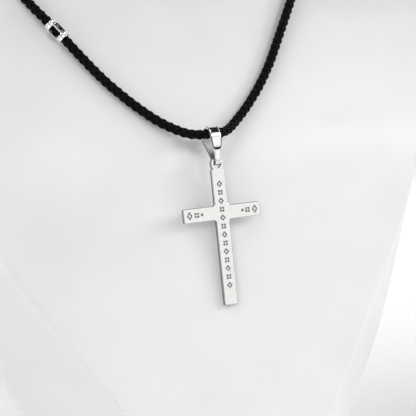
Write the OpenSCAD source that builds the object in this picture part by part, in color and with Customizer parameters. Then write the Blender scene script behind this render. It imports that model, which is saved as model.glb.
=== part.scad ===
// Silver cross pendant on a braided cord, worn on a white neck bust.
// Millimetres, +Z up, the bust stands on z = 0 and faces -Y, x = 0 is its middle.

/* [Cord] */
// diameter of the braided cord
cord_d = 2.0; // [1.8:0.1:2.1]

/* [Cross] */
// width of the upright and of the crossbar
arm_w = 3.1; // [2.8:0.1:3.4]
// length of the crossbar
bar_l = 17.9; // [16:0.1:20]
// length of the upright below the pivot of its eyelet
drop_l = 31.4; // [29:0.1:31.4]
// height of the crossbar's middle below that pivot
bar_drop = 11.5; // [10:0.1:13]
// thickness of the cross
cross_t = 1.0; // [0.8:0.1:1.1]
// depth of the engraving
engrave_d = 0.12; // [0.05:0.01:0.2]

/* [Bail] */
// width of the bail at its top
bail_w = 2.5; // [2.2:0.1:2.6]
// thickness of the bail's strip
bail_t = 0.55; // [0.5:0.05:0.6]

/* [Bead] */
// length of the open bead
bead_l = 4.9; // [4.5:0.1:5.2]
// outer diameter of its end rings
bead_d = 3.0; // [2.9:0.1:3.1]

/* [Bust] */
// height of the flat neck top
bust_h = 157; // [150:1:165]

/* [Hidden] */

white = [0.93, 0.93, 0.93];
black = [0.03, 0.03, 0.03];
silver = [0.80, 0.80, 0.81];

// the lowest point of the cord's centre line, where the bail hangs
hang = [0, -20, 95];
// lean of the bail and of the cross from the vertical, lower end forward
bail_lean = 31;
cross_lean = 15.2;
// centre of the eyelet's top wall, below the cord, which the bail's lower end goes round
eye_drop = 5.75;
eye = hang + eye_drop * [0, -sin(bail_lean), -cos(bail_lean)];

// Bust: one row per level, from the foot up.
// height, half width of the front, y of the front's middle, y of its edge, roundness of the front,
// half width of the side wall, y of the side wall, y of the back, roundness of the back
SECTIONS = [
    [0, 15, -45, -44.5, 2, 36, -14, 45, 0.4],
    [1.5, 16, -46, -45.5, 2, 37, -15, 46, 0.4],
    [11, 14, -44.2, -43.6, 2, 39, -14, 46, 0.4],
    [23, 15.6, -41.4, -40.5, 2, 42, -13, 46, 0.4],
    [33.5, 22, -38.4, -36.8, 2, 46, -12, 46, 0.4],
    [43.5, 29.1, -35.4, -32.8, 2, 50.2, -10.5, 46, 0.4],
    [57.5, 38.6, -31.3, -27, 2, 54, -8.5, 46, 0.4],
    [71, 47.6, -26.8, -21, 2, 57.5, -6, 46, 0.4],
    [80, 52.6, -23.6, -17, 2, 59.5, -3.5, 46, 0.41],
    [89, 57, -19.6, -12.2, 2.1, 61.5, -0.5, 46, 0.43],
    [97, 61.5, -13.4, -6.3, 3, 64.5, 2.5, 46, 0.45],
    [103, 65.5, -8.8, -1.8, 3.1, 68, 6, 46, 0.47],
    [109, 69, -4.3, 3.3, 3, 71, 10.5, 46, 0.52],
    [115, 70, 0, 8.5, 2.8, 71, 16, 46, 0.6],
    [120, 57, 2.6, 17, 1.5, 57.5, 23, 46, 0.75],
    [125, 40.5, 5, 25, 0.82, 41, 29, 46, 0.9],
    [131, 32, 6.8, 26.5, 1, 32.3, 30, 46, 1],
    [137, 27.5, 7.3, 26.5, 1, 27.7, 30, 46, 1],
    [bust_h - 12, 25.3, 7.3, 26.5, 1, 25.4, 30, 46, 1],
    [bust_h - 2, 25.3, 7.3, 26.5, 1, 25.4, 30, 46, 1],
    [bust_h, 24.3, 8.3, 26.5, 1, 24.4, 30, 45, 1]
];
// steps between two rows, and along the front, each side wall and the back of a level
bust_steps = 2;
front_n = 20;
side_n = 3;
back_n = 10;

// Cord: half of the route, from the bail over the right shoulder to the clasp; the other half is its mirror.
ROUTE = [
    [0, -20, 95],
    [2.5, -19.8, 95],
    [5, -18.2, 95.2],
    [8.4, -15.4, 96.6],
    [11.5, -13.3, 98.6],
    [15.6, -10.4, 102],
    [19.8, -6.9, 106.2],
    [23.6, -3.2, 110.9],
    [25.5, -1.4, 113.4],
    [27.4, 0.5, 115.8],
    [29.3, 2.4, 118.2],
    [31.2, 4.7, 120.5],
    [32.9, 7.5, 123],
    [34.3, 11.3, 125.7],
    [35.3, 16.3, 127.7],
    [35.7, 21.8, 129.3],
    [35.7, 27.5, 130],
    [35.4, 33.2, 129.8],
    [34.3, 38.6, 127.6],
    [32.8, 43.6, 124],
    [31.2, 46.2, 118.5],
    [30, 46.6, 112.7],
    [29.2, 46.6, 106.6],
    [28.5, 46.6, 100.4],
    [27.9, 46.6, 94.1],
    [27.4, 46.6, 87.8],
    [26.9, 46.6, 81.5],
    [26.5, 46.6, 75.2],
    [26.2, 46.6, 68.9],
    [25.9, 46.6, 62.6],
    [25.7, 46.6, 56.3],
    [25.5, 46.6, 50],
    [25.3, 46.6, 43.7],
    [25, 46.7, 37.4],
    [24.2, 46.8, 31.2],
    [22.8, 47, 25.2],
    [20.6, 47.2, 19.5],
    [17.6, 47.4, 14.5],
    [14, 47.6, 10.5],
    [10.5, 47.8, 8.3],
    [7, 47.8, 8]
];
cord_sides = 8;

// smooth step through b and c, with a and d as their neighbours
function through(a, b, c, d, f) =
    b + 0.5 * f * ((c - a) + f * ((2 * a - 5 * b + 4 * c - d) + f * (3 * (b - c) + d - a)));

function table_at(t, k) =
    let (n = len(t), i = min(floor(k), n - 2), f = k - i)
    [for (j = [0 : len(t[0]) - 1])
        through(t[max(i - 1, 0)][j], t[i][j], t[i + 1][j], t[min(i + 2, n - 1)][j], f)];

function unit(v) = v / norm(v);

// a power that keeps the sign, for the rounded corners of a level
function spow(v, e) = v < 0 ? -pow(-v, e) : pow(v, e);

function front_pt(r, i) =
    let (t = -90 + 180 * i / front_n)
    [r[1] * sin(t), r[3] - (r[3] - r[2]) * pow(max(cos(t), 0), r[4]), r[0]];

// the side wall goes straight back first and then flares out
function side_pt(r, i, s) =
    let (f = i / side_n)
    [s * (r[1] + (r[5] - r[1]) * pow(f, 1.6)), r[3] + (r[6] - r[3]) * f, r[0]];

function back_pt(r, i) =
    let (s = 180 * i / back_n)
    [r[5] * spow(cos(s), r[8]), r[6] + (r[7] - r[6]) * spow(sin(s), r[8]), r[0]];

function level(r) = concat(
    [for (i = [0 : front_n]) front_pt(r, i)],
    [for (i = [1 : side_n]) side_pt(r, i, 1)],
    [for (i = [1 : back_n - 1]) back_pt(r, i)],
    [for (i = [side_n : -1 : 1]) side_pt(r, i, -1)]
);

// triangles between rings of m points, closed by a fan at each end
function skin(n, m) = concat(
    [for (i = [0 : n - 2], j = [0 : m - 1]) [i * m + j, (i + 1) * m + j, (i + 1) * m + (j + 1) % m]],
    [for (i = [0 : n - 2], j = [0 : m - 1]) [i * m + j, (i + 1) * m + (j + 1) % m, i * m + (j + 1) % m]],
    [for (j = [0 : m - 1]) [n * m, j, (j + 1) % m]],
    [for (j = [0 : m - 1]) [n * m + 1, (n - 1) * m + (j + 1) % m, (n - 1) * m + j]]
);

module bust() {
    n = (len(SECTIONS) - 1) * bust_steps + 1;
    m = front_n + 1 + 2 * side_n + back_n - 1;
    levels = [for (k = [0 : n - 1]) level(table_at(SECTIONS, k / bust_steps))];
    pts = concat([for (l = levels) each l], [[0, 0, 0], [0, 28, bust_h]]);
    color(white) polyhedron(pts, skin(n, m));
}

// whole route, from the left end at the clasp to the right one
route_n = len(ROUTE);
WHOLE = concat(
    [for (i = [route_n - 1 : -1 : 1]) [-ROUTE[i][0], ROUTE[i][1], ROUTE[i][2]]],
    ROUTE
);
cord_k = 1;
cord_rings = floor((len(WHOLE) - 1) * cord_k) + 1;
cord_pts = [for (k = [0 : cord_rings - 1]) table_at(WHOLE, min(k / cord_k, len(WHOLE) - 1))];

function cord_dir(i) = unit(cord_pts[min(i + 1, cord_rings - 1)] - cord_pts[max(i - 1, 0)]);
// a side vector carried along the loop from ring to ring, so that the tube doesn't twist
function across(u, d) = unit(u - (u * d) * d);
cord_across = [for (i = 0, u = across([0, 0, 1], cord_dir(0)); i < cord_rings;
    i = i + 1, u = i < cord_rings ? across(u, cord_dir(i)) : u) u];

module cord() {
    m = cord_sides;
    pts = [for (i = [0 : cord_rings - 1])
        let (u = cord_across[i], v = cross(cord_dir(i), u))
        for (j = [0 : m - 1])
            cord_pts[i] + cord_d / 2 * (cos(360 * j / m) * u + sin(360 * j / m) * v)];
    color(black) polyhedron(concat(pts, [cord_pts[0], cord_pts[cord_rings - 1]]), skin(cord_rings, m));
}

// Open bead: a tube with a rim and a groove at each end and four rounded windows.
bead_at = [-27.4, 0.5, 115.8];
bead_dir = unit([-29.3, 2.4, 118.2] - [-25.5, -1.4, 113.4]);
bead_bore = 2.3;
// from each end to the windows
bead_ring = 1.2;
// turn of the windows about the bead's own axis
bead_turn = 6;

module bead_window() {
    w = 1.5;
    l = bead_l - 2 * bead_ring;
    r = 0.35;
    rotate([90, 0, 0]) linear_extrude(bead_d) union() {
        translate([-w / 2, -l / 2 + r]) square([w, l - 2 * r]);
        translate([-w / 2 + r, -l / 2]) square([w - 2 * r, l]);
        for (x = [-1, 1], y = [-1, 1])
            translate([x * (w / 2 - r), y * (l / 2 - r)]) circle(r, $fn = 24);
    }
}

module cage_bead() {
    color(silver)
    translate(bead_at)
    rotate([0, acos(bead_dir[2]), atan2(bead_dir[1], bead_dir[0])])
    difference() {
        rotate_extrude($fn = 64) polygon([
            [bead_bore / 2, -bead_l / 2],
            [bead_d / 2 - 0.1, -bead_l / 2],
            [bead_d / 2, -bead_l / 2 + 0.1],
            [bead_d / 2, -bead_l / 2 + 0.4],
            [bead_d / 2 - 0.14, -bead_l / 2 + 0.55],
            [bead_d / 2 - 0.14, -bead_l / 2 + 0.65],
            [bead_d / 2 - 0.04, -bead_l / 2 + 0.75],
            [bead_d / 2 - 0.04, bead_l / 2 - 0.75],
            [bead_d / 2 - 0.14, bead_l / 2 - 0.65],
            [bead_d / 2 - 0.14, bead_l / 2 - 0.55],
            [bead_d / 2, bead_l / 2 - 0.4],
            [bead_d / 2, bead_l / 2 - 0.1],
            [bead_d / 2 - 0.1, bead_l / 2],
            [bead_bore / 2, bead_l / 2]
        ]);
        for (a = [0, 90, 180, 270]) rotate([0, 0, a + bead_turn]) bead_window();
    }
}

// Bail: a tapered loop, seen from the side a large circle and a small one with straight flanks.
bail_r = 2.8;
bail_end_r = 1.35;
bail_top = bail_r - 1 - bail_t - 0.15;
bail_span = eye_drop - bail_top;
flank = asin((bail_r - bail_end_r) / bail_span);

module loop_outline(inset) {
    a = bail_r - inset;
    b = bail_end_r - inset;
    translate([0, -bail_top]) circle(a, $fn = 96);
    translate([0, -eye_drop]) circle(b, $fn = 64);
    polygon([
        [a * cos(flank), -bail_top - a * sin(flank)],
        [-a * cos(flank), -bail_top - a * sin(flank)],
        [-b * cos(flank), -eye_drop - b * sin(flank)],
        [b * cos(flank), -eye_drop - b * sin(flank)]
    ]);
}

// height below the cord, half width of the bail there as a share of its top's, for the front and the back arm
FRONT_TAPER = [
    [-1.9, 1],
    [0.6, 0.99],
    [2, 0.93],
    [3.2, 0.86],
    [3.6, 0.76],
    [4.1, 0.58],
    [4.6, 0.51],
    [5.6, 0.48],
    [7.3, 0.46]
];
BACK_TAPER = [
    [-1.9, 1],
    [0.6, 0.99],
    [1.4, 0.84],
    [2.1, 0.68],
    [3.4, 0.56],
    [4.6, 0.51],
    [5.6, 0.48],
    [7.3, 0.46]
];

// one arm's outline seen from the front, kept to its own side of the loop
module tapered_side(table, far) {
    n = len(table);
    translate([0, far, 0]) rotate([90, 0, 0]) linear_extrude(4) polygon(concat(
        [for (i = [0 : n - 1]) [bail_w / 2 * table[i][1], -table[i][0]]],
        [for (i = [n - 1 : -1 : 0]) [-bail_w / 2 * table[i][1], -table[i][0]]]
    ));
}

module bail() {
    color(silver)
    translate(hang)
    rotate([-bail_lean, 0, 0])
    intersection() {
        rotate([90, 0, 90]) translate([0, 0, -2]) linear_extrude(4) difference() {
            loop_outline(0);
            loop_outline(bail_t);
        }
        union() {
            tapered_side(FRONT_TAPER, 0);
            tapered_side(BACK_TAPER, 4);
        }
    }
}

// Cross: drawn flat with the pivot of its eyelet at the origin.
tab_w = 2.85;
tab_top = 0.23;
tab_drop = 2.1;
hole_r = 0.8;
hole_drop = 1.03;
corner_r = 0.35;

module rounded_bar(w, l, r) {
    union() {
        translate([-w / 2 + r, -l / 2]) square([w - 2 * r, l]);
        translate([-w / 2, -l / 2 + r]) square([w, l - 2 * r]);
        for (x = [-1, 1], y = [-1, 1])
            translate([x * (w / 2 - r), y * (l / 2 - r)]) circle(r, $fn = 32);
    }
}

module cross_outline() {
    up_l = drop_l - tab_drop;
    difference() {
        union() {
            translate([0, -tab_drop - up_l / 2]) rounded_bar(arm_w, up_l, corner_r);
            translate([0, -bar_drop]) rounded_bar(bar_l, arm_w, corner_r);
            // small fillets in the four inner corners
            for (x = [-1, 1], y = [-1, 1])
                translate([x * arm_w / 2, -bar_drop + y * arm_w / 2])
                    difference() {
                        translate([x > 0 ? -0.1 : -0.5, y > 0 ? -0.1 : -0.5]) square(0.6);
                        translate([x * 0.5, y * 0.5]) circle(0.5, $fn = 32);
                    }
            // the eyelet, a little narrower than the upright
            translate([0, tab_top - 1.35]) rounded_bar(tab_w, 2.7, 1.0);
        }
        translate([0, -hole_drop]) circle(hole_r, $fn = 48);
    }
}

// Engraved ornament: open lozenges and four-petalled marks, pitch after the photographed marks.
module lozenge_mark(w, h) {
    line = 0.26;
    difference() {
        polygon([[0, h / 2], [w / 2, 0], [0, -h / 2], [-w / 2, 0]]);
        polygon([[0, h / 2 - line * 1.6], [w / 2 - line * 1.3, 0], [0, -h / 2 + line * 1.6], [-w / 2 + line * 1.3, 0]]);
    }
}

module petal_mark(r) {
    for (a = [45 : 90 : 315]) rotate(a) translate([r, 0]) circle(0.24, $fn = 24);
}

mark_n = 13;
mark_pitch = 1.82;
mark_first = 5.35;

module marks() {
    for (i = [0 : mark_n - 1])
        translate([0, -mark_first - i * mark_pitch])
            if (i % 2 == 0) lozenge_mark(1.3, 1.5);
            else petal_mark(0.42);
    for (s = [-1, 1]) translate([0, -bar_drop]) {
        translate([s * 7.6, 0]) lozenge_mark(1.3, 1.9);
        translate([s * 5.9, 0]) petal_mark(0.42);
        translate([s * 4.7, 0]) circle(0.3, $fn = 24);
    }
}

module cross_pendant() {
    color(silver)
    translate(eye)
    rotate([90 - cross_lean, 0, 0])
    difference() {
        translate([0, 0, -cross_t / 2]) linear_extrude(cross_t) cross_outline();
        translate([0, 0, cross_t / 2 - engrave_d]) linear_extrude(1) marks();
    }
}

// Clasp: one plain barrel across the back, with a bore for the cord in each end.
clasp_at = [0, 47.8, 8];
clasp_l = 20;
clasp_r = 1.65;

module clasp() {
    color(silver)
    translate(clasp_at)
    rotate([0, 90, 0])
    difference() {
        rotate_extrude($fn = 48) polygon([
            [0, -clasp_l / 2],
            [1.4, -clasp_l / 2],
            [1.5, -clasp_l / 2 + 0.1],
            [1.5, -clasp_l / 2 + 4],
            [clasp_r, -clasp_l / 2 + 4.3],
            [clasp_r, clasp_l / 2 - 4.3],
            [1.5, clasp_l / 2 - 4],
            [1.5, clasp_l / 2 - 0.1],
            [1.4, clasp_l / 2],
            [0, clasp_l / 2]
        ]);
        for (s = [-1, 1]) translate([0, 0, s * (clasp_l / 2 - 1.5)]) cylinder(h = 3.2, r = 1.15, center = true, $fn = 32);
    }
}

bust();
cord();
cage_bead();
bail();
cross_pendant();  // cross
clasp();
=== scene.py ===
# %% [markdown]
# A silver cross on a braided cord, shown on a white neck bust
#
# This notebook dresses a small piece of jewellery. The construction model arrives as a fixed frame:
# six solids at their real size, +Z up, metres, with the bust's foot on z = 0 and its face towards -Y.
# Each cell below either keeps one of those solids and finishes it, or builds a finer piece in its place.
# The frame is loaded first, because every later cell takes its places from it.

# %% Load the frame
import math

import bmesh
import bpy
from mathutils import Matrix, Vector


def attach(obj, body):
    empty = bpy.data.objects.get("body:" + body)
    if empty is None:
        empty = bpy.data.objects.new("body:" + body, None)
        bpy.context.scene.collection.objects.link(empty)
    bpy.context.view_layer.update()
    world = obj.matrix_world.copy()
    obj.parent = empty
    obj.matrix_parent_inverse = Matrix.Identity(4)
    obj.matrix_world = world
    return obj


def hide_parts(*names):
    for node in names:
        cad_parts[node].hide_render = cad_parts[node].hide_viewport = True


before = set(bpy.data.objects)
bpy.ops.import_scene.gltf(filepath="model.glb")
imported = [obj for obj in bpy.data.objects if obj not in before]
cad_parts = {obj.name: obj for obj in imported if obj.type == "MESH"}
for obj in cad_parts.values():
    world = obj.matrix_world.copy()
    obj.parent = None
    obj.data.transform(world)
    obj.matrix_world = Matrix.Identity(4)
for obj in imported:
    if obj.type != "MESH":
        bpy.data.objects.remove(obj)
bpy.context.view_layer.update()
MM = 0.001

# %% [markdown]
# The camera
#
# A photograph of jewellery is taken from a short distance with a long lens, so the picture flattens.
# The camera stands on the wearer's right and a little above, and looks down. Its place is worked out
# from one known point: the lowest point of the cord, which the lens has to put on one known pixel.
# Sliding the whole camera sideways does that without turning it, so nothing leans.

# %% Camera
HANG = Vector((0, -20, 95)) * MM
VIEW_AZIMUTH = math.radians(-23)
VIEW_ELEVATION = math.radians(16)
VIEW_DISTANCE = 400 * MM
PX_PER_M = 4650
PHOTO_SIDE_PX = 416
HANG_PX = Vector((210.6, 133.8))

back = Vector((
    math.sin(VIEW_AZIMUTH) * math.cos(VIEW_ELEVATION),
    -math.cos(VIEW_AZIMUTH) * math.cos(VIEW_ELEVATION),
    math.sin(VIEW_ELEVATION),
))
right = Vector((math.cos(VIEW_AZIMUTH), math.sin(VIEW_AZIMUTH), 0))
up = back.cross(right)
off_centre = (HANG_PX - Vector((PHOTO_SIDE_PX / 2, PHOTO_SIDE_PX / 2))) / PX_PER_M
aim = HANG - off_centre.x * right + off_centre.y * up

SENSOR_WIDTH_MM = 36
camera = bpy.data.objects.new("camera", bpy.data.cameras.new("camera"))
bpy.context.scene.collection.objects.link(camera)
camera.data.sensor_width = SENSOR_WIDTH_MM
camera.data.lens = PX_PER_M * VIEW_DISTANCE * SENSOR_WIDTH_MM / PHOTO_SIDE_PX
camera.data.clip_start = 10 * MM
camera.data.clip_end = 10
turn = Matrix((right, up, back)).transposed().to_4x4()
camera.matrix_world = Matrix.Translation(aim + back * VIEW_DISTANCE) @ turn
bpy.context.scene.camera = camera
camera_place = tuple(round(x, 4) for x in camera.matrix_world.translation)
print("camera at", camera_place, "with a lens of", round(camera.data.lens, 1), "mm")

# %% [markdown]
# Small helpers
#
# Most pieces end the same way: their mesh goes into an object at the origin, gets its materials, and is
# tied to the body that carries it. Many start the same way too: a flat grid whose points are moved onto
# a surface that two numbers describe, one for each side of the grid. Both steps are written once here.
# A table of sizes is read between its rows with a smooth curve, so that a few rows are enough.

# %% Helpers
def finish_piece(name, bm, materials, body, sharp=35):
    """A mesh object from bm, smooth but for edges sharper than that angle, riding on its body."""
    mesh = bpy.data.meshes.new(name)
    bm.to_mesh(mesh)
    bm.free()
    piece = bpy.data.objects.new(name, mesh)
    bpy.context.scene.collection.objects.link(piece)
    for material in materials:
        mesh.materials.append(material)
    mesh.shade_smooth()
    mesh.set_sharp_from_angle(angle=math.radians(sharp))
    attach(piece, body)
    print(name, "has", len(mesh.polygons), "faces")
    return piece


def wrapped_grid(across, along, place):
    """A bmesh grid whose points go where place(u, v) says, u and v from 0 to 1."""
    bm = bmesh.new()
    bmesh.ops.create_grid(bm, x_segments=across, y_segments=along, size=0.5)
    for v in bm.verts:
        v.co = place(v.co.x + 0.5, v.co.y + 0.5)
    return bm


def close_up(bm):
    """Points that meet are merged, and the faces are turned outwards."""
    bmesh.ops.remove_doubles(bm, verts=bm.verts, dist=0.001 * MM)
    bmesh.ops.recalc_face_normals(bm, faces=bm.faces)


def smooth_through(a, b, c, d, f):
    """A smooth curve from b to c, whose neighbours are a and d, at the share f of the way."""
    return b + 0.5 * f * ((c - a) + f * ((2 * a - 5 * b + 4 * c - d) + f * (3 * (b - c) + d - a)))


def row_at(table, k):
    """The row of a table at the place k, which need not be a whole number."""
    last = len(table) - 1
    i = min(int(k), last - 1)
    rows = [table[max(i - 1, 0)], table[i], table[i + 1], table[min(i + 2, last)]]
    return [smooth_through(*values, k - i) for values in zip(*rows)]


# %% [markdown]
# Materials by nodes
#
# A finished surface is never one flat number: even polished silver has faint marks, and moulded plastic
# has a skin. A small builder makes each material from a base colour, and adds noise to its roughness and
# a fine bump. All patterns read object coordinates, in metres, so that they stay on the piece.

# %% Material builder
def node(tree, kind, **values):
    """A shader node with its inputs set by name; an underscore stands for a space."""
    made = tree.nodes.new(kind)
    for key, value in values.items():
        made.inputs[key.replace("_", " ")].default_value = value
    return made


def new_material(name, **shader_values):
    """A material with a Principled shader, whose constants are set on its own sockets."""
    material = bpy.data.materials.new(name)
    material.use_nodes = True
    shader = material.node_tree.nodes["Principled BSDF"]
    for key, value in shader_values.items():
        shader.inputs[key.replace("_", " ")].default_value = value
    return material, material.node_tree, shader


def object_noise(tree, scale, detail=3.0, stretch=(1, 1, 1)):
    """Noise on object coordinates; scale is in cells for each metre."""
    where = tree.nodes.new("ShaderNodeTexCoord")
    mapping = tree.nodes.new("ShaderNodeMapping")
    mapping.inputs["Scale"].default_value = stretch
    noise = node(tree, "ShaderNodeTexNoise", Scale=scale, Detail=detail)
    tree.links.new(where.outputs["Object"], mapping.inputs["Vector"])
    tree.links.new(mapping.outputs["Vector"], noise.inputs["Vector"])
    return noise.outputs["Fac"]


def ranged(tree, value, low, high, from_low=0.3, from_high=0.7):
    """A value moved from one range into another."""
    change = node(tree, "ShaderNodeMapRange", From_Min=from_low, From_Max=from_high, To_Min=low, To_Max=high)
    tree.links.new(value, change.inputs["Value"])
    return change.outputs["Result"]


def colour_mix(tree, factor, second):
    """A node that goes from its first colour to the second as factor goes from 0 to 1."""
    mix = tree.nodes.new("ShaderNodeMix")
    mix.data_type = "RGBA"
    mix.inputs["B"].default_value = (*second, 1)
    tree.links.new(factor, mix.inputs["Factor"])
    return mix


def blend_colours(tree, factor, first, second):
    """One colour where factor is 0, another where it is 1."""
    mix = colour_mix(tree, factor, second)
    mix.inputs["A"].default_value = (*first, 1)
    return mix.outputs["Result"]


def add_bump(tree, shader, height, distance, strength=1.0):
    """A fine relief from a height value, its depth in metres."""
    bump = node(tree, "ShaderNodeBump", Strength=strength, Distance=distance)
    tree.links.new(height, bump.inputs["Height"])
    tree.links.new(bump.outputs["Normal"], shader.inputs["Normal"])


# %% [markdown]
# The braided cord: its route
#
# The cord is a whole loop of 45 cm: a V on the chest, over both shoulders beside the neck, and down the
# back in a U that ends in the clasp. Half of the route is a list of points and the other half is its
# mirror. A smooth curve through the points is then cut into short equal steps. A side vector is carried
# along from step to step and only straightened against the new direction, so the tube never twists.

# %% Cord route
HALF_ROUTE_MM = [
    (0, -20, 95),
    (2.5, -19.8, 95),
    (5, -18.2, 95.2),
    (8.4, -15.4, 96.6),
    (11.5, -13.3, 98.6),
    (15.6, -10.4, 102),
    (19.8, -6.9, 106.2),
    (23.6, -3.2, 110.9),
    (25.5, -1.4, 113.4),
    (27.4, 0.5, 115.8),
    (29.3, 2.4, 118.2),
    (31.2, 4.7, 120.5),
    (32.9, 7.5, 123),
    (34.3, 11.3, 125.7),
    (35.3, 16.3, 127.7),
    (35.7, 21.8, 129.3),
    (35.7, 27.5, 130),
    (35.4, 33.2, 129.8),
    (34.3, 38.6, 127.6),
    (32.8, 43.6, 124),
    (31.2, 46.2, 118.5),
    (30, 46.6, 112.7),
    (29.2, 46.6, 106.6),
    (28.5, 46.6, 100.4),
    (27.9, 46.6, 94.1),
    (27.4, 46.6, 87.8),
    (26.9, 46.6, 81.5),
    (26.5, 46.6, 75.2),
    (26.2, 46.6, 68.9),
    (25.9, 46.6, 62.6),
    (25.7, 46.6, 56.3),
    (25.5, 46.6, 50),
    (25.3, 46.6, 43.7),
    (25, 46.7, 37.4),
    (24.2, 46.8, 31.2),
    (22.8, 47, 25.2),
    (20.6, 47.2, 19.5),
    (17.6, 47.4, 14.5),
    (14, 47.6, 10.5),
    (10.5, 47.8, 8.3),
    (7, 47.8, 8),
]
CORD_D = 2.0 * MM
BRAID_TURN = 6.8 * MM
STEPS_PER_TURN = 30
FINE_STEPS = 16

half = [Vector(p) * MM for p in HALF_ROUTE_MM]
whole = [Vector((-p.x, p.y, p.z)) for p in reversed(half[1:])] + half


def even_steps(points, step):
    """The smooth curve through the points, cut into equal steps of about that length."""
    fine = [Vector(row_at(points, k / FINE_STEPS)) for k in range((len(points) - 1) * FINE_STEPS + 1)]
    run = [0.0]
    for a, b in zip(fine, fine[1:]):
        run.append(run[-1] + (b - a).length)
    count = round(run[-1] / step)
    cut, j = [], 0
    for i in range(count + 1):
        want = run[-1] * i / count
        while j < len(fine) - 2 and run[j + 1] < want:
            j += 1
        cut.append(fine[j].lerp(fine[j + 1], (want - run[j]) / (run[j + 1] - run[j])))
    return cut, run[-1]


cord_line, cord_length = even_steps(whole, BRAID_TURN / STEPS_PER_TURN)


def carried_frames(line):
    """For each point of a line, two side vectors that are square to it and never twist."""
    frames, side = [], Vector((0, 0, 1))
    for i in range(len(line)):
        ahead = (line[min(i + 1, len(line) - 1)] - line[max(i - 1, 0)]).normalized()
        side = (side - side.dot(ahead) * ahead).normalized()
        frames.append((side, ahead.cross(side)))
    return frames


cord_frames = carried_frames(cord_line)
print("cord middle line:", round(cord_length / MM, 1), "mm in", len(cord_line), "points")

# %% [markdown]
# The braided cord: its eight strands
#
# A round braid has four strands that wind one way and four that wind the other, and each goes over one
# and under the next. A picture of a weave would look flat at the cord's edge, so every strand is a real
# tube: an angle that grows with the length, and a radius that rises and sinks where it goes over and
# under. The strand's own section is a flat oval of six points, because a pulled strand spreads out.
# Each strand gets a map of its own: once round it from side to side, and along it in millimetres.
# A plain core fills the middle, so that no light comes through between the strands.

# %% Cord strands
STRANDS_EACH_WAY = 4
STRAND_HALF_WIDTH = 0.34 * MM
STRAND_HALF_HEIGHT = 0.25 * MM
STRAND_TOP = CORD_D / 2 + 0.12 * MM - STRAND_HALF_HEIGHT
STRAND_DIP = 0.16 * MM
STRAND_SIDES = 6
BRAID_START = math.radians(20)
CORE_R = 0.72 * MM
CORE_STEPS = 3


def strand_point(i, hand, start):
    """Where a strand's middle is at the cord's step i, and the way out from the cord there."""
    turns = i / STEPS_PER_TURN
    angle = BRAID_START + start + hand * math.tau * turns
    over = hand * math.cos(STRANDS_EACH_WAY * math.tau * turns)
    side, across = cord_frames[i]
    out = math.cos(angle) * side + math.sin(angle) * across
    return cord_line[i] + (STRAND_TOP - STRAND_DIP * (1 - over)) * out, out


def add_tube(bm, uv, middle, half_width, half_height, step_mm):
    """A closed oval tube along a line of middle points, each given with the way out from the cord."""
    rings = []
    for i, (centre, out) in enumerate(middle):
        ahead = middle[min(i + 1, len(middle) - 1)][0] - middle[max(i - 1, 0)][0]
        wide = ahead.cross(out).normalized()
        high = wide.cross(ahead).normalized()
        ring = []
        for j in range(STRAND_SIDES):
            a = math.tau * j / STRAND_SIDES
            offset = half_width * math.cos(a) * wide + half_height * math.sin(a) * high
            ring.append(bm.verts.new(centre + offset))
        rings.append(ring)
    for i, (ring, after) in enumerate(zip(rings, rings[1:])):
        for j in range(STRAND_SIDES):
            k = (j + 1) % STRAND_SIDES
            face = bm.faces.new((ring[j], after[j], after[k], ring[k]))
            corners = ((j, i), (j, i + 1), (j + 1, i + 1), (j + 1, i))
            for loop, (round_it, along_it) in zip(face.loops, corners):
                loop[uv].uv = (round_it / STRAND_SIDES, along_it * step_mm)
    bm.faces.new(rings[0])
    bm.faces.new(reversed(rings[-1]))


braid = bmesh.new()
strand_map = braid.loops.layers.uv.new("strand")
step_mm = cord_length / (len(cord_line) - 1) / MM
for number in range(STRANDS_EACH_WAY):
    start = math.tau * number / STRANDS_EACH_WAY
    for hand in (1, -1):
        strand = [strand_point(i, hand, start) for i in range(len(cord_line))]
        add_tube(braid, strand_map, strand, STRAND_HALF_WIDTH, STRAND_HALF_HEIGHT, step_mm)
core = [(point, sides[0]) for point, sides in zip(cord_line, cord_frames)][::CORE_STEPS]
add_tube(braid, strand_map, core, CORE_R, CORE_R, CORE_STEPS * step_mm)
bmesh.ops.recalc_face_normals(braid, faces=braid.faces)
print("braid:", 2 * STRANDS_EACH_WAY, "strands, one turn in", round(BRAID_TURN / MM, 1), "mm")

# %% [markdown]
# The cord's finish
#
# The thread is dyed black, but each strand is a bundle of hair-fine filaments that catch the light along
# their length. So the colour is near black, a little lighter on some filaments, and a bump of thin lines
# runs along each strand, read from the strand's own map. The thread hardly shines, so its specular level
# is low, and its roughness follows the same filaments.

# %% Cord material
DYED_THREAD = (0.0005, 0.0005, 0.0005)
LIT_THREAD = (0.004, 0.004, 0.005)

cord_black, tree, shader = new_material("cord_black", Specular_IOR_Level=0.1)
where = node(tree, "ShaderNodeUVMap")
where.uv_map = "strand"
stretch = node(tree, "ShaderNodeMapping", Scale=(26, 1.1, 1))
filaments = node(tree, "ShaderNodeTexNoise", Scale=1.0, Detail=2.0, Roughness=0.6)
tree.links.new(where.outputs["UV"], stretch.inputs["Vector"])
tree.links.new(stretch.outputs["Vector"], filaments.inputs["Vector"])
lighter = ranged(tree, filaments.outputs["Fac"], 0, 1)
tree.links.new(blend_colours(tree, lighter, DYED_THREAD, LIT_THREAD), shader.inputs["Base Color"])
tree.links.new(ranged(tree, filaments.outputs["Fac"], 0.62, 0.4), shader.inputs["Roughness"])
add_bump(tree, shader, filaments.outputs["Fac"], 0.03 * MM, 0.8)

cord = finish_piece("braided_cord", braid, [cord_black], "bust_and_cord", sharp=80)
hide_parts("cord")
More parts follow.
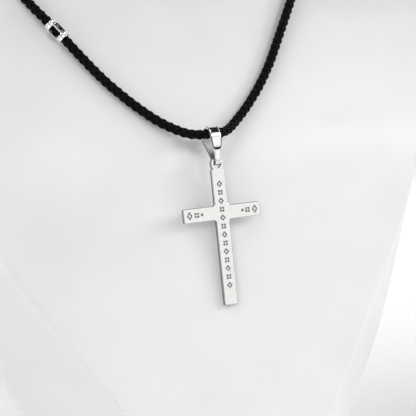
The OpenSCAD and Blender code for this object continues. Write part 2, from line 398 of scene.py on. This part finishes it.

# %% [markdown]
# Silver
#
# Polished silver is almost white and shows what stands round it, so one function makes each polish from
# its roughness: bright for the bail, the bead and the clasp, softer for the flat face of the cross, and a
# darker tone for the narrow rounds of its edges, which is painted shade. Polishing never reaches the
# engraving, which keeps a grey bloom of oxide. The sawn sides and the inside of the bead get the same
# rough finish, darkened as painted shade: grey on the sides and nearly black in the bead.

# %% Silver materials
SILVER_TINTS = ((0.935, 0.925, 0.91), (0.965, 0.955, 0.94))


def silver(name, low, high, scratch, shade=1):
    """Silver whose roughness wanders from low to high, with polishing marks of that depth."""
    material, tree, shader = new_material(name, Metallic=1.0)
    cloud = object_noise(tree, scale=420, detail=4.0)
    tree.links.new(ranged(tree, cloud, low, high), shader.inputs["Roughness"])
    tints = [[shade * c for c in tint] for tint in SILVER_TINTS]
    tint = blend_colours(tree, ranged(tree, cloud, 0, 1), *tints)
    tree.links.new(tint, shader.inputs["Base Color"])
    marks = object_noise(tree, scale=2600, detail=2.0, stretch=(1, 1, 0.12))
    add_bump(tree, shader, marks, scratch, 0.5)
    return material


silver_bright = silver("silver_bright", low=0.06, high=0.14, scratch=0.002 * MM)
silver_face = silver("silver_face", low=0.22, high=0.3, scratch=0.001 * MM)
# The edges' darker tint is painted shade: the dark rim that shade and dark reflections draw round the cross.
silver_shaded_edge = silver("silver_shaded_edge", low=0.1, high=0.18, scratch=0.002 * MM, shade=0.6)


def tarnish_and_shade(name, dark, light):
    """Rough silver between two colours, used for real tarnish in the engraving and for painted shade
    elsewhere.
    """
    material, tree, shader = new_material(name, Metallic=1.0)
    grain = object_noise(tree, scale=5200, detail=3.0)
    bloom = blend_colours(tree, ranged(tree, grain, 0, 1), dark, light)
    tree.links.new(bloom, shader.inputs["Base Color"])
    tree.links.new(ranged(tree, grain, 0.45, 0.65), shader.inputs["Roughness"])
    add_bump(tree, shader, grain, 0.02 * MM, 0.6)
    return material


# Grey painted shade for the sides, which would mirror the shaded chest next to them.
painted_side_shade = tarnish_and_shade("painted_side_shade", (0.2, 0.185, 0.175), (0.34, 0.32, 0.305))
engraving = tarnish_and_shade("engraving", (0.22, 0.215, 0.21), (0.42, 0.41, 0.4))
# Near black: painted shade for the inside of the bead.
painted_bore_shade = tarnish_and_shade("painted_bore_shade", (0.03, 0.028, 0.025), (0.07, 0.065, 0.06))
print("silver:", [m.name for m in (silver_bright, silver_face, silver_shaded_edge, painted_side_shade, engraving, painted_bore_shade)])

# %% [markdown]
# Silver of the bail
#
# The bail needs two finishes of its own. Its inside is open above and closes to a narrow slit below, so
# its colour follows the height of the place: light above, and painted shade, dark grey, below. It is mostly
# matte, because a mirror in so narrow a place would show only dark. The bail's outside is bright silver
# with one dark line round a plate, whose dark colour is painted shade in the sunk line. A line drawn by
# whole faces would show steps, so the mesh carries a value on its points, and the material blends its
# colour and roughness by that value.

# %% Silver of the bail
# The inside is light above the first height and painted shade, dark grey, below the second.
UNSHADED_ABOVE = 92.3 * MM
SHADED_BELOW = 90.6 * MM
UNSHADED_INSIDE = (0.96, 0.95, 0.935)
PAINTED_SHADE_INSIDE = (0.11, 0.105, 0.1)
LINE_SHADE_COLOUR = (0.03, 0.028, 0.025)
LINE_ROUGHNESS = 0.6
LINE_VALUE = "plate_line"


def shaded_inside(name):
    """Satin silver that is light above one height and darkens below another, as painted shade towards the
    narrow end of the loop.
    """
    material, tree, shader = new_material(name, Metallic=0.25, Roughness=0.5)
    where = tree.nodes.new("ShaderNodeTexCoord")
    split = tree.nodes.new("ShaderNodeSeparateXYZ")
    tree.links.new(where.outputs["Object"], split.inputs["Vector"])
    painted_shade = ranged(tree, split.outputs["Z"], 1, 0, SHADED_BELOW, UNSHADED_ABOVE)
    shades = blend_colours(tree, painted_shade, UNSHADED_INSIDE, PAINTED_SHADE_INSIDE)
    tree.links.new(shades, shader.inputs["Base Color"])
    cloud = object_noise(tree, scale=900)
    add_bump(tree, shader, cloud, 0.01 * MM, 0.5)
    return material


def add_dark_line(material):
    """The material turns dark and rough where the mesh's line value rises: painted shade along the sunk
    line.
    """
    tree = material.node_tree
    shader = tree.nodes["Principled BSDF"]
    value = tree.nodes.new("ShaderNodeAttribute")
    value.attribute_name = LINE_VALUE
    in_line = ranged(tree, value.outputs["Fac"], 0, 1, 0.3, 0.55)
    for socket, line_finish in (("Base Color", LINE_SHADE_COLOUR), ("Roughness", [LINE_ROUGHNESS] * 3)):
        mix = colour_mix(tree, in_line, line_finish)
        tree.links.new(shader.inputs[socket].links[0].from_socket, mix.inputs["A"])
        tree.links.new(mix.outputs["Result"], shader.inputs[socket])


silver_inside = shaded_inside("silver_inside")
silver_lined = silver("silver_lined", low=0.06, high=0.14, scratch=0.002 * MM)
add_dark_line(silver_lined)
print("bail finishes:", silver_inside.name, "and", silver_lined.name)

# %% [markdown]
# The cross
#
# It is a flat plate, sawn out, engraved and soldered to a small eyelet. The frame's solid already holds
# the outline, the hole and the engraved marks, so a copy of it is the best start. A mesh from the frame
# comes as loose triangles: its points are merged, and flat neighbours are dissolved into single faces.
# What the copy lacks is the file's touch: every long edge gets a small round, which is what catches the
# light. The floors of the marks lie just below the front face, and that is how they are found.

# %% Cross
CROSS_T = 1.0 * MM
CROSS_LEAN = math.radians(15.2)
EDGE_ROUND = 0.14 * MM
MARK_ROUND = 0.03 * MM
ENGRAVED = 0.12 * MM
SHARP_CORNER = math.radians(40)
CLOSE = 0.005 * MM
# places in the list of finishes, after the front face's own
MARK, EDGE, SIDE = 1, 2, 3

front = Vector((0, -math.cos(CROSS_LEAN), math.sin(CROSS_LEAN)))
bm = bmesh.new()
bm.from_mesh(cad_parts["cross"].data)
bmesh.ops.remove_doubles(bm, verts=bm.verts, dist=1e-7)
bmesh.ops.dissolve_limit(bm, angle_limit=math.radians(1), verts=bm.verts, edges=bm.edges)
face_level = max(v.co.dot(front) for v in bm.verts)


def depth(point):
    """How far a point lies behind the front face."""
    return face_level - point.dot(front)


def is_rim(edge, level):
    """Whether an edge lies at that depth and turns a corner."""
    at_level = all(abs(depth(v.co) - level) < CLOSE for v in edge.verts)
    return at_level and len(edge.link_faces) == 2 and edge.calc_face_angle() > SHARP_CORNER


def is_mark_wall(edge):
    """Whether a rim edge belongs to an engraved mark."""
    return any(abs(depth(f.calc_center_median()) - ENGRAVED / 2) < 2 * CLOSE for f in edge.link_faces)


rims = [e for e in bm.edges if is_rim(e, 0)]
mark_rims = [e for e in rims if is_mark_wall(e)]
outer_rims = [e for e in rims if not is_mark_wall(e)] + [e for e in bm.edges if is_rim(e, CROSS_T)]
print("rims:", len(outer_rims), "outer and", len(mark_rims), "of marks")

# %% Cross, rounded and finished
rounded = bmesh.ops.bevel(bm, geom=outer_rims, offset=EDGE_ROUND, offset_type="OFFSET", affect="EDGES",
                          segments=3, profile=0.5, material=-1, clamp_overlap=False)
for face in rounded["faces"]:
    face.material_index = EDGE
mark_rims = [e for e in mark_rims if e.is_valid]
bmesh.ops.bevel(bm, geom=mark_rims, offset=MARK_ROUND, offset_type="OFFSET", affect="EDGES", segments=1,
                profile=0.5, material=-1, clamp_overlap=False)
for face in bm.faces:
    middle = depth(face.calc_center_median())
    upright = abs(face.normal.dot(front)) < 0.1
    if upright and ENGRAVED < middle < CROSS_T - EDGE_ROUND:
        face.material_index = SIDE
    elif face.material_index != EDGE and 4 * CLOSE < middle < ENGRAVED + CLOSE:
        face.material_index = MARK
# The darker edge rounds and the grey sawn sides carry painted shade.
cross_finishes = [silver_face, engraving, silver_shaded_edge, painted_side_shade]
cross = finish_piece("engraved_cross", bm, cross_finishes, "cross")
cross.modifiers.new("flat_faces_stay_flat", "WEIGHTED_NORMAL").keep_sharp = True
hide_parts("cross")

# %% [markdown]
# The bail
#
# A bail is a tapered strip bent into a loop: wide where it lies over the cord, narrow where it passes
# through the eyelet, with a flat plate on its front that a fine sunk line frames. One grid makes it: one
# side of the grid goes round the loop and the other goes round the strip's own section, so both seams
# close and the result is a single skin. The sizes below are in millimetres.

# %% Bail sizes
BAIL_LEAN = math.radians(31)
BAIL_T = 0.55
BAIL_HALF_W = 1.25
BAIL_R = 2.8
BAIL_END_R = 1.35
EYE_DROP = 5.75
CORD_CLEARANCE = 0.15
BAIL_TOP = BAIL_R - CORD_D / 2 / MM - BAIL_T - CORD_CLEARANCE
STRIP_SQUARENESS = 10
STEPS_ROUND_LOOP = 200
STEPS_ROUND_STRIP = 64
# height below the cord, half width there as a share of the top's, for the front arm and for the back one
BAIL_FRONT = [
    (-1.9, 1),
    (1.8, 1),
    (2.7, 0.94),
    (3.4, 0.82),
    (4.1, 0.62),
    (4.6, 0.51),
    (5.6, 0.48),
    (7.3, 0.46),
]
BAIL_BACK = [
    (-1.9, 1),
    (0.6, 0.99),
    (1.4, 0.84),
    (2.1, 0.68),
    (3.4, 0.56),
    (4.6, 0.51),
    (5.6, 0.48),
    (7.3, 0.46),
]
PLATE_SHARE = 0.92
PLATE_END = 3.9
PLATE_CORNER = 0.5
LINE_DEPTH = 0.12
LINE_WIDTH = 0.14
LINE_GROWTH = 0.3
LINE_TOP = 1.6
# places in the list of finishes, after the outside's own
INSIDE, PAINTED_SHADE_SIDE = 1, 2

flank = math.asin((BAIL_R - BAIL_END_R) / (EYE_DROP - BAIL_TOP))
print("bail:", round(BAIL_R - BAIL_TOP + EYE_DROP + BAIL_END_R, 2), "mm long,", 2 * BAIL_HALF_W, "mm wide")

# %% Bail outline
def loop_at(share):
    """A point of the loop's outline seen from the side, in millimetres below the cord, and the way out."""
    top_arc = BAIL_R * (math.pi + 2 * flank)
    side = (EYE_DROP - BAIL_TOP) * math.cos(flank)
    low_arc = BAIL_END_R * (math.pi - 2 * flank)
    run = (share % 1) * (top_arc + 2 * side + low_arc)
    if run < top_arc:
        a = -flank + run / BAIL_R
        out = Vector((math.cos(a), math.sin(a)))
        return Vector((0, -BAIL_TOP)) + BAIL_R * out, out
    run -= top_arc
    if run < side:
        out = Vector((-math.cos(flank), -math.sin(flank)))
        down = Vector((math.sin(flank), -math.cos(flank)))
        return Vector((0, -BAIL_TOP)) + BAIL_R * out + run * down, out
    run -= side
    if run < low_arc:
        a = math.pi + flank + run / BAIL_END_R
        out = Vector((math.cos(a), math.sin(a)))
        return Vector((0, -EYE_DROP)) + BAIL_END_R * out, out
    run -= low_arc
    out = Vector((math.cos(flank), -math.sin(flank)))
    rise = Vector((math.sin(flank), math.cos(flank)))
    return Vector((0, -EYE_DROP)) + BAIL_END_R * out + run * rise, out


def share_at(table, drop):
    """The share of the bail's width at a height below the cord, on straight lines between the rows."""
    drop = min(max(drop, table[0][0]), table[-1][0])
    for (d0, w0), (d1, w1) in zip(table, table[1:]):
        if drop <= d1:
            return w0 + (w1 - w0) * (drop - d0) / (d1 - d0)


def half_width(table, drop):
    """Half the bail's width at a height below the cord, with the corners of its table smoothed."""
    return BAIL_HALF_W * sum(share_at(table, drop + d) for d in (-0.15, 0, 0.15)) / 3


# The line's dark colour is painted shade, and it is painted wider below the plate.
def plate_line(x, drop):
    """1 on the line that frames the plate on the bail's front; it widens below and falls to 0 beside it."""
    inner = PLATE_SHARE * half_width(BAIL_FRONT, drop)
    beside = max(abs(x) - (inner - PLATE_CORNER), 0)
    below = max(drop - (PLATE_END - PLATE_CORNER), 0)
    outside = math.hypot(beside, below)
    width = LINE_WIDTH + LINE_GROWTH * below / max(outside, 0.01)
    return max(1 - abs(outside - PLATE_CORNER) / width, 0)


def bail_point(u, v):
    """u goes round the loop and v round the strip's section."""
    edge, out = loop_at(u)
    drop = -edge.y
    half_w = half_width(BAIL_FRONT if edge.x < 0 else BAIL_BACK, drop)
    a = math.tau * v
    x = math.cos(a)
    rise = math.copysign((1 - x ** STRIP_SQUARENESS) ** (1 / STRIP_SQUARENESS), math.sin(a))
    flat = edge + out * BAIL_T / 2 * (rise - 1)
    if rise > 0 and edge.x < 0:
        flat -= out * LINE_DEPTH * plate_line(half_w * x, drop)
    return Vector((half_w * x, flat.x, flat.y)) * MM


# %% Bail skin
bm = wrapped_grid(STEPS_ROUND_LOOP, STEPS_ROUND_STRIP, bail_point)
close_up(bm)
line_layer = bm.verts.layers.float.new(LINE_VALUE)
for v in bm.verts:
    place = v.co / MM
    faces_front = v.normal.y < -0.2
    if faces_front and place.z < LINE_TOP and place.y < 0:
        v[line_layer] = plate_line(place.x, -place.z)
loop_middle = Vector((0, 0, -(BAIL_TOP + EYE_DROP) / 2))
for face in bm.faces:
    place = face.calc_center_median() / MM
    sideways = abs(face.normal.x)
    if face.normal.dot(loop_middle - place) > 0 and sideways < 0.5:
        face.material_index = INSIDE
    elif sideways > 0.7 and place.y > 0 and place.z < -0.5:
        face.material_index = PAINTED_SHADE_SIDE
bmesh.ops.rotate(bm, verts=bm.verts, cent=(0, 0, 0), matrix=Matrix.Rotation(-BAIL_LEAN, 3, "X"))
bmesh.ops.translate(bm, verts=bm.verts, vec=HANG)
# The inside darkens to painted shade towards the eyelet, and the back arm's lower sides are grey painted
# shade.
bail_finishes = [silver_lined, silver_inside, painted_side_shade]
bail = finish_piece("tapered_bail", bm, bail_finishes, "bail", sharp=60)
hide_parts("bail")

# %% [markdown]
# The open bead
#
# It is a short tube with a raised ring at each end and four rounded windows. Subdivision rounds corners
# by itself, so the bead starts as a coarse tube whose columns and rows lie where the windows begin and
# end. The window faces are deleted, the wall gets its thickness, and the modifier does the polishing.
# The walls of the windows and the bore get a near-black finish, which is painted shade for the inside of the
# tube.

# %% Bead sizes
BEAD_AT = Vector((-27.4, 0.5, 115.8)) * MM
BEAD_WAY = (Vector((-29.3, 2.4, 118.2)) - Vector((-25.5, -1.4, 113.4))).normalized()
BEAD_L = 4.9
BEAD_R = 1.5
BEAD_BORE_R = 1.15
BEAD_RING = 1.2
BEAD_TURN = 2
WINDOW_SHARE = 0.76
BEAD_WALL = 0.2
BEAD_QUARTERS = 4
QUARTER_STEPS = 6
# place from the bead's end and the outside's rise over its radius there, from the end to the middle
BEAD_ROWS = [0, 0.08, 0.36, 0.5, 0.66, 0.8, 1.05, BEAD_RING, BEAD_RING + 0.3, BEAD_L / 2]
BEAD_RISE = [-0.1, 0, 0, -0.17, -0.17, -0.03, -0.03, -0.03, -0.03, -0.03]


def bead_point(u, v):
    """u goes round the bead and v from end to end, on its outside."""
    rows = BEAD_ROWS + [BEAD_L - r for r in reversed(BEAD_ROWS[:-1])]
    rises = BEAD_RISE + BEAD_RISE[-2::-1]
    i = round(v * (len(rows) - 1))
    columns = BEAD_QUARTERS * QUARTER_STEPS
    quarter, step = divmod(round(u * columns) % columns, QUARTER_STEPS)
    edges = [-WINDOW_SHARE / 2, -WINDOW_SHARE / 6, WINDOW_SHARE / 6, WINDOW_SHARE / 2]
    bar = 1 - WINDOW_SHARE
    steps = edges + [edges[-1] + bar / 3, edges[-1] + 2 * bar / 3]
    a = math.tau * (quarter + BEAD_TURN / 90 + steps[step]) / BEAD_QUARTERS
    r = BEAD_R + rises[i]
    return Vector((r * math.cos(a), r * math.sin(a), rows[i] - BEAD_L / 2)) * MM


# %% Bead skin
bm = wrapped_grid(BEAD_QUARTERS * QUARTER_STEPS, 2 * (len(BEAD_ROWS) - 1), bead_point)
bmesh.ops.remove_doubles(bm, verts=bm.verts, dist=1e-7)


def in_window(face):
    """Whether a face lies in one of the four windows."""
    middle = face.calc_center_median() / MM
    angle = (math.atan2(middle.y, middle.x) / (math.tau / BEAD_QUARTERS) - BEAD_TURN / 90) % 1
    from_centre = min(angle, 1 - angle)
    return from_centre < WINDOW_SHARE / 2 and abs(middle.z) < BEAD_L / 2 - BEAD_RING


def outward(face):
    """How far a face looks away from the bead's axis, from -1 to 1."""
    middle = face.calc_center_median()
    return (face.normal.x * middle.x + face.normal.y * middle.y) / math.hypot(middle.x, middle.y)


bmesh.ops.delete(bm, geom=[f for f in bm.faces if in_window(f)], context="FACES")
bmesh.ops.recalc_face_normals(bm, faces=bm.faces)
if sum(outward(f) for f in bm.faces) < 0:
    bmesh.ops.reverse_faces(bm, faces=bm.faces)
bmesh.ops.solidify(bm, geom=bm.faces, thickness=BEAD_WALL * MM)
for v in bm.verts:
    r = math.hypot(v.co.x, v.co.y)
    if r < (BEAD_R - 0.9 * BEAD_WALL) * MM:
        v.co.x *= BEAD_BORE_R * MM / r
        v.co.y *= BEAD_BORE_R * MM / r
bmesh.ops.recalc_face_normals(bm, faces=bm.faces)
# Faces that look into the bead get the second finish, near-black painted shade.
for face in bm.faces:
    if outward(face) < 0.3 and abs(face.normal.z) < 0.7:
        face.material_index = 1

# %% Bead on the cord
swing = Matrix.Rotation(math.atan2(BEAD_WAY.y, BEAD_WAY.x), 4, "Z")
tilt = Matrix.Rotation(math.acos(BEAD_WAY.z), 4, "Y")
bmesh.ops.transform(bm, verts=bm.verts, matrix=Matrix.Translation(BEAD_AT) @ swing @ tilt)
bead = finish_piece("open_bead", bm, [silver_bright, painted_bore_shade], "bust_and_cord", sharp=180)
rounding = bead.modifiers.new("rounding", "SUBSURF")
rounding.levels = 3
rounding.render_levels = 3
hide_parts("cage_bead")

# %% [markdown]
# The clasp
#
# At the back the two cord ends are glued into a plain barrel. It is a turned piece, so its outline is
# drawn once, from the axis at one end to the axis at the other, and spun. The sockets that take the cord
# are part of the same outline, and fine grooves show where the barrel was crimped.

# %% Clasp
CLASP_AT = Vector((0, 47.8, 8)) * MM
CLASP_SIDES = 48
# radius and place along the axis, from the floor of the cord's socket over the rim to the middle
CLASP_HALF = [
    (0, 6.9),
    (1.0, 6.9),
    (1.15, 7.0),
    (1.15, 9.85),
    (1.25, 10.0),
    (1.4, 10.0),
    (1.5, 9.9),
    (1.5, 9.2),
    (1.42, 9.1),
    (1.42, 8.9),
    (1.5, 8.8),
    (1.5, 8.2),
    (1.42, 8.1),
    (1.42, 7.9),
    (1.5, 7.8),
    (1.5, 6.0),
    (1.65, 5.7),
    (1.65, 0.25),
    (1.58, 0.1),
]

outline = CLASP_HALF + [(r, -x) for r, x in reversed(CLASP_HALF)]
bm = bmesh.new()
corners = [bm.verts.new(Vector((x, 0, r)) * MM) for r, x in outline]
edges = [bm.edges.new(pair) for pair in zip(corners, corners[1:])]
bmesh.ops.spin(bm, geom=corners + edges, cent=(0, 0, 0), axis=(1, 0, 0), angle=math.tau,
               steps=CLASP_SIDES, use_merge=True)
close_up(bm)
bmesh.ops.translate(bm, verts=bm.verts, vec=CLASP_AT)
clasp = finish_piece("barrel_clasp", bm, [silver_bright], "bust_and_cord", sharp=30)
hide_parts("clasp")

# %% [markdown]
# The cord's facts
#
# The cord starts and ends in the clasp's sockets, and the bead and the clasp ride on the same body as
# the cord. The loop is 14 mm longer than the cord, because that much of it is the clasp.

print("cord leaves the clasp at", tuple(round(x, 4) for x in cord_line[0]))

# %% [markdown]
# The bust
#
# The bust is one smooth moulding: a chest plate that narrows towards the foot, side walls that run back
# and flare, round shoulders and a short neck. Each row of the table is one level of it. A grid is
# wrapped round: one side goes round the bust, the other climbs from the foot to the neck. A mould has
# no knife edge, so every point is the mean of five neighbouring places on the outline, which rounds the
# line where the chest turns into the side wall and leaves the gentle surfaces as they are.

# %% Bust sizes
# height, front half width, y of the front's middle, y of its edge, roundness of the front,
# side wall's half width, its y, y of the back, roundness of the back
BUST_LEVELS = [
    (0, 15, -45, -44.5, 2, 36, -14, 45, 0.4),
    (1.5, 16, -46, -45.5, 2, 37, -15, 46, 0.4),
    (11, 14, -44.2, -43.6, 2, 39, -14, 46, 0.4),
    (23, 15.6, -41.4, -40.5, 2, 42, -13, 46, 0.4),
    (33.5, 22, -38.4, -36.8, 2, 46, -12, 46, 0.4),
    (43.5, 29.1, -35.4, -32.8, 2, 50.2, -10.5, 46, 0.4),
    (57.5, 38.6, -31.3, -27, 2, 54, -8.5, 46, 0.4),
    (71, 47.6, -26.8, -21, 2, 57.5, -6, 46, 0.4),
    (80, 52.6, -23.6, -17, 2, 59.5, -3.5, 46, 0.41),
    (89, 57, -19.6, -12.2, 2.1, 61.5, -0.5, 46, 0.43),
    (97, 61.5, -13.4, -6.3, 3, 64.5, 2.5, 46, 0.45),
    (103, 65.5, -8.8, -1.8, 3.1, 68, 6, 46, 0.47),
    (109, 69, -4.3, 3.3, 3, 71, 10.5, 46, 0.52),
    (115, 70, 0, 8.5, 2.8, 71, 16, 46, 0.6),
    (120, 57, 2.6, 17, 1.5, 57.5, 23, 46, 0.75),
    (125, 40.5, 4.4, 25, 0.82, 41, 29, 46, 0.9),
    (131, 32, 6.1, 26.5, 1, 32.3, 30, 46, 1),
    (137, 27.5, 7, 26.5, 1, 27.7, 30, 46, 1),
    (145, 25.3, 7.3, 26.5, 1, 25.4, 30, 46, 1),
    (155, 25.3, 7.3, 26.5, 1, 25.4, 30, 46, 1),
    (157, 24.3, 8.3, 26.5, 1, 24.4, 30, 45, 1),
]
FRONT_COLUMNS = 96
SIDE_COLUMNS = 24
BACK_COLUMNS = 36
COLUMNS = FRONT_COLUMNS + 2 * SIDE_COLUMNS + BACK_COLUMNS
LEVEL_STEPS = 6
ROWS = (len(BUST_LEVELS) - 1) * LEVEL_STEPS
# the front's columns lie partly evenly below one height, and only by angle above the other
EVEN_BELOW = 105
ANGLED_ABOVE = 125
EVEN_SHARE = 0.5
SIDE_HOLLOW = 1.6
CORNER_STEPS = (-3, -1.5, 0, 1.5, 3)
print("bust:", BUST_LEVELS[-1][0], "mm high, a grid of", COLUMNS, "by", ROWS)

# %% Bust outline
def signed_power(v, e):
    """v to the power e, with v's sign kept."""
    return math.copysign(abs(v) ** e, v)


def outline_point(row, column):
    """A point of one level's outline; columns are counted from the left end of the front."""
    z, front_w, middle_y, edge_y, roundness, side_w, side_y, back_y, back_roundness = row
    column %= COLUMNS
    if column <= FRONT_COLUMNS:
        u = 2 * column / FRONT_COLUMNS - 1
        even = EVEN_SHARE * min(max((ANGLED_ABOVE - z) / (ANGLED_ABOVE - EVEN_BELOW), 0), 1)
        x = even * u + (1 - even) * math.sin(math.pi / 2 * u)
        depth = (edge_y - middle_y) * max(1 - x * x, 0) ** (roundness / 2)
        return Vector((front_w * x, edge_y - depth, z))
    column -= FRONT_COLUMNS
    mirror = 1
    if column > SIDE_COLUMNS + BACK_COLUMNS:
        column = 2 * SIDE_COLUMNS + BACK_COLUMNS - column
        mirror = -1
    if column <= SIDE_COLUMNS:
        f = column / SIDE_COLUMNS
        x = front_w + (side_w - front_w) * f ** SIDE_HOLLOW
        return Vector((mirror * x, edge_y + (side_y - edge_y) * f, z))
    s = math.pi * (column - SIDE_COLUMNS) / BACK_COLUMNS
    x = side_w * signed_power(math.cos(s), back_roundness)
    return Vector((x, side_y + (back_y - side_y) * max(math.sin(s), 0) ** back_roundness, z))


def bust_point(u, v):
    """u goes round the bust, v from the foot to the neck. A mean of five places rounds the corners."""
    row = row_at(BUST_LEVELS, min(v * (len(BUST_LEVELS) - 1), len(BUST_LEVELS) - 1))
    places = [outline_point(row, round(u * COLUMNS) + step) for step in CORNER_STEPS]
    return sum(places, Vector()) / len(places) * MM


# %% Bust skin
bm = wrapped_grid(COLUMNS, ROWS, bust_point)
bmesh.ops.remove_doubles(bm, verts=bm.verts, dist=0.001 * MM)
for level in (BUST_LEVELS[0][0] * MM, BUST_LEVELS[-1][0] * MM):
    rim = [e for e in bm.edges if e.is_boundary and all(abs(v.co.z - level) < CLOSE for v in e.verts)]
    bmesh.ops.edgeloop_fill(bm, edges=rim)
bmesh.ops.recalc_face_normals(bm, faces=bm.faces)

# %% [markdown]
# The bust's finish
#
# Such a bust is a hollow moulding with a smooth satin skin. The eye reads it by its soft highlight, so
# the roughness matters more than the colour: it wanders slightly, and a very fine pore breaks it up.

# %% Bust material
bust_white, tree, shader = new_material("bust_white", Specular_IOR_Level=0.5)
cloud = object_noise(tree, scale=60)
pores = object_noise(tree, scale=2400, detail=2.0)
skin = blend_colours(tree, ranged(tree, cloud, 0, 1), (0.863, 0.86, 0.86), (0.903, 0.9, 0.9))
tree.links.new(skin, shader.inputs["Base Color"])
tree.links.new(ranged(tree, cloud, 0.36, 0.46), shader.inputs["Roughness"])
add_bump(tree, shader, pores, 0.01 * MM, 0.3)
bust = finish_piece("neck_bust", bm, [bust_white], "bust_and_cord", sharp=50)
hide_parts("bust")

# %% [markdown]
# Floor
#
# The bust stands on a wide pale floor. Seen from above, it is all that shows behind the bust.

# %% Floor
FLOOR_SIDE = 3.0
FLOOR_PALE = (0.9, 0.9, 0.9, 1)

bm = bmesh.new()
bmesh.ops.create_grid(bm, x_segments=1, y_segments=1, size=FLOOR_SIDE / 2)
mesh = bpy.data.meshes.new("floor")
bm.to_mesh(mesh)
bm.free()
floor = bpy.data.objects.new("floor", mesh)
bpy.context.scene.collection.objects.link(floor)
floor_material, tree, shader = new_material("floor_pale", Base_Color=FLOOR_PALE, Roughness=0.8)
mesh.materials.append(floor_material)
print("floor:", FLOOR_SIDE, "m square")

# %% [markdown]
# The room
#
# The light is a room with large soft windows, because polished silver shows the room as much as it shows
# itself. Overhead it stays dark, which draws the dark shapes that make metal look like metal. Each window
# is a smooth spot on the sky: the nearer a direction lies to its middle, the brighter it is. Only light
# and reflections see this room. Where the picture itself looks past the floor, it shows a plain pale wall.

# %% Room
world = bpy.data.worlds.new("room")
bpy.context.scene.world = world
world.use_nodes = True
sky = world.node_tree
background = sky.nodes["Background"]
background.inputs["Color"].default_value = (1, 1, 1, 1)
way = sky.nodes.new("ShaderNodeTexCoord").outputs["Generated"]


def direction(azimuth, elevation):
    """The way towards a place on the sky. Azimuth 0 is in front, and grows to the picture's right."""
    a, e = math.radians(azimuth), math.radians(elevation)
    return Vector((math.sin(a) * math.cos(e), -math.cos(a) * math.cos(e), math.sin(e)))


def window(azimuth, elevation, half_width, softness, brightness):
    """A soft bright spot on the sky, with its size in degrees."""
    near = sky.nodes.new("ShaderNodeVectorMath")
    near.operation = "DOT_PRODUCT"
    near.inputs[1].default_value = direction(azimuth, elevation)
    sky.links.new(way, near.inputs[0])
    edge = sky.nodes.new("ShaderNodeMapRange")
    edge.interpolation_type = "SMOOTHSTEP"
    edge.inputs["From Min"].default_value = math.cos(math.radians(half_width + softness))
    edge.inputs["From Max"].default_value = math.cos(math.radians(max(half_width - softness, 0)))
    edge.inputs["To Max"].default_value = brightness
    sky.links.new(near.outputs["Value"], edge.inputs["Value"])
    return edge.outputs["Result"]


# azimuth, elevation, half width and softness in degrees, brightness
WINDOWS = [
    (16, 14, 16, 10, 1),
    (60, 15, 14, 12, 1),
    (-50, 15, 14, 12, 0.6),
    (-85, 15, 14, 12, 2.6),
    (-90, 65, 14, 12, 3.4),
    (130, 15, 14, 12, 7),
    (-130, 15, 14, 12, 2.5),
    (32, 46, 14, 3, 1.3),
    (-4, 42, 11, 3, 1.1),
]
ROOM_LIGHT = 0.02
WALL_LIGHT = 0.75

# %% Room light
room_light = sky.nodes.new("ShaderNodeValue").outputs[0]
room_light.default_value = ROOM_LIGHT
for values in WINDOWS:
    total = sky.nodes.new("ShaderNodeMath")
    sky.links.new(room_light, total.inputs[0])
    sky.links.new(window(*values), total.inputs[1])
    room_light = total.outputs[0]
seen = sky.nodes.new("ShaderNodeLightPath").outputs["Is Camera Ray"]
shown = node(sky, "ShaderNodeMix", B=WALL_LIGHT)
sky.links.new(seen, shown.inputs["Factor"])
sky.links.new(room_light, shown.inputs["A"])
sky.links.new(shown.outputs["Result"], background.inputs["Strength"])
bpy.context.scene.view_settings.view_transform = "Standard"
print("room:", len(WINDOWS), "windows")

# %% [markdown]
# Lamps
#
# Spot lamps add what the windows cannot: a light that fades across the bust. Two from the right point at
# the middle of the chest and one from the left at its lower part. Their cones fade out towards the neck,
# so the top of the bust falls off into shade. One more lights the floor behind the bust.

# %% Lamps
CHEST = Vector((0, -30, 60)) * MM
LOWER_CHEST = Vector((0, -30, 30)) * MM
FLOOR_BEHIND = Vector((150, 160, 0)) * MM
ABOVE_FLOOR = Vector((200, 300, 400)) * MM
REACH = 0.5


def lamp(name, target, place, cone, radius, watts):
    """A soft spot lamp whose light fades out from the middle of its cone to the rim."""
    spot = bpy.data.objects.new(name, bpy.data.lights.new(name, "SPOT"))
    bpy.context.scene.collection.objects.link(spot)
    spot.data.energy = watts
    spot.data.spot_size = math.radians(cone)
    spot.data.spot_blend = 1
    spot.data.shadow_soft_size = radius
    turn = (target - place).to_track_quat("-Z", "Y").to_matrix().to_4x4()
    spot.matrix_world = Matrix.Translation(place) @ turn
    print(name, "gives", watts, "W")


lamp("right_lamp", CHEST, CHEST + REACH * direction(62, 42), cone=24, radius=0.08, watts=2.2)
lamp("side_lamp", CHEST, CHEST + REACH * direction(75, 20), cone=24, radius=0.08, watts=4.5)
lamp("left_lamp", LOWER_CHEST, LOWER_CHEST + REACH * direction(-45, 42), cone=30, radius=0.08, watts=1.4)
lamp("floor_lamp", FLOOR_BEHIND, ABOVE_FLOOR, cone=40, radius=0.05, watts=2.7)
